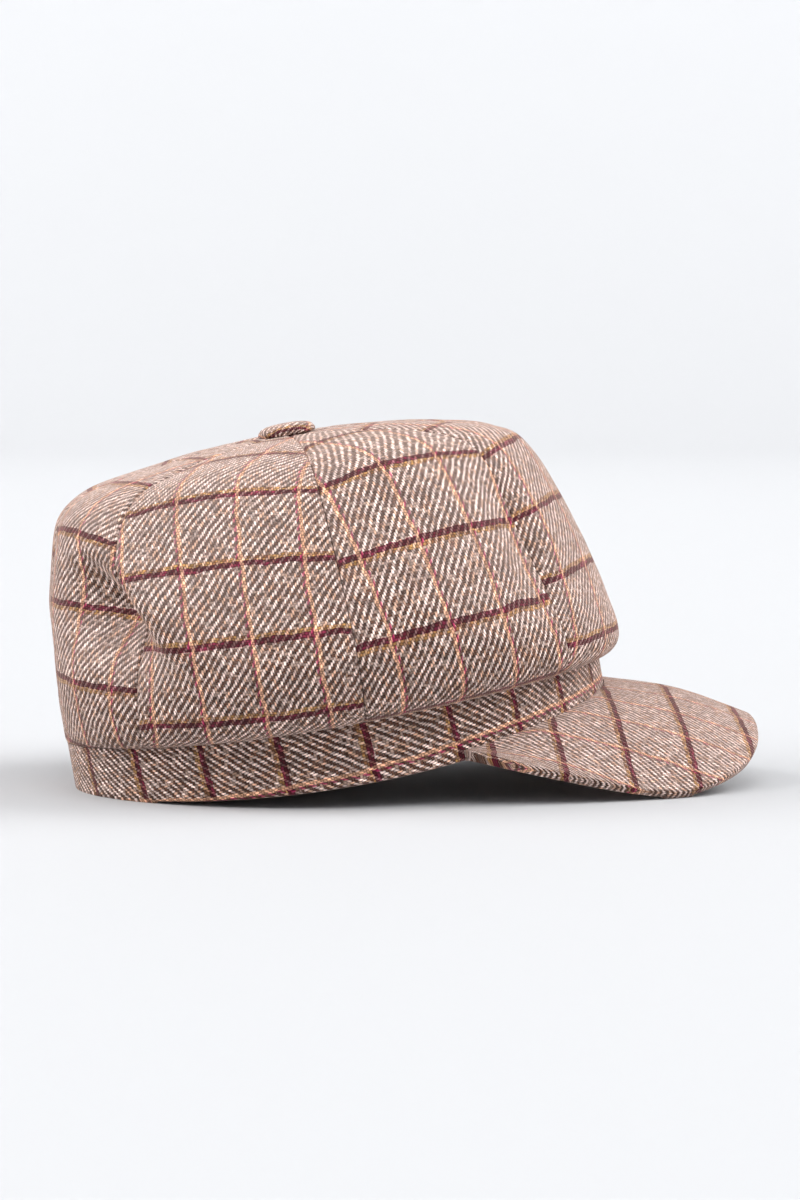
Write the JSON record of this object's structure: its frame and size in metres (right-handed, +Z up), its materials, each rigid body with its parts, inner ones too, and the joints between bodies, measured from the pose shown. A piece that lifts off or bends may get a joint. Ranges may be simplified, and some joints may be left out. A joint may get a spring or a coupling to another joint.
{
  "type": "cabbie hat",
  "caption": "Soft checked wool cabbie hat with a panelled crown, a covered button, an upright band and a short arched peak.",
  "frame": {"origin": "centre of the box's base, on the floor the hat rests on", "axes": "+X forward over the peak, +Y towards the wearer's left, +Z up from the floor"},
  "size_m": [0.2726, 0.2094, 0.1407],
  "materials": {
    "crown_cloth": "matte wool twill",
    "band_cloth": "matte wool twill",
    "peak_cloth": "matte wool twill",
    "button_cloth": "matte wool twill"
  },
  "bodies": {
    "root": {"crown_front_left": "crown_cloth", "crown_front_right": "crown_cloth", "crown_front_side_left": "crown_cloth", "crown_front_side_right": "crown_cloth", "crown_back_side_left": "crown_cloth", "crown_back_side_right": "crown_cloth", "crown_back_left": "crown_cloth", "crown_back_right": "crown_cloth", "band": "band_cloth", "peak_top": "peak_cloth", "peak_under": "peak_cloth", "button": "button_cloth"}
  },
  "joints": []
}
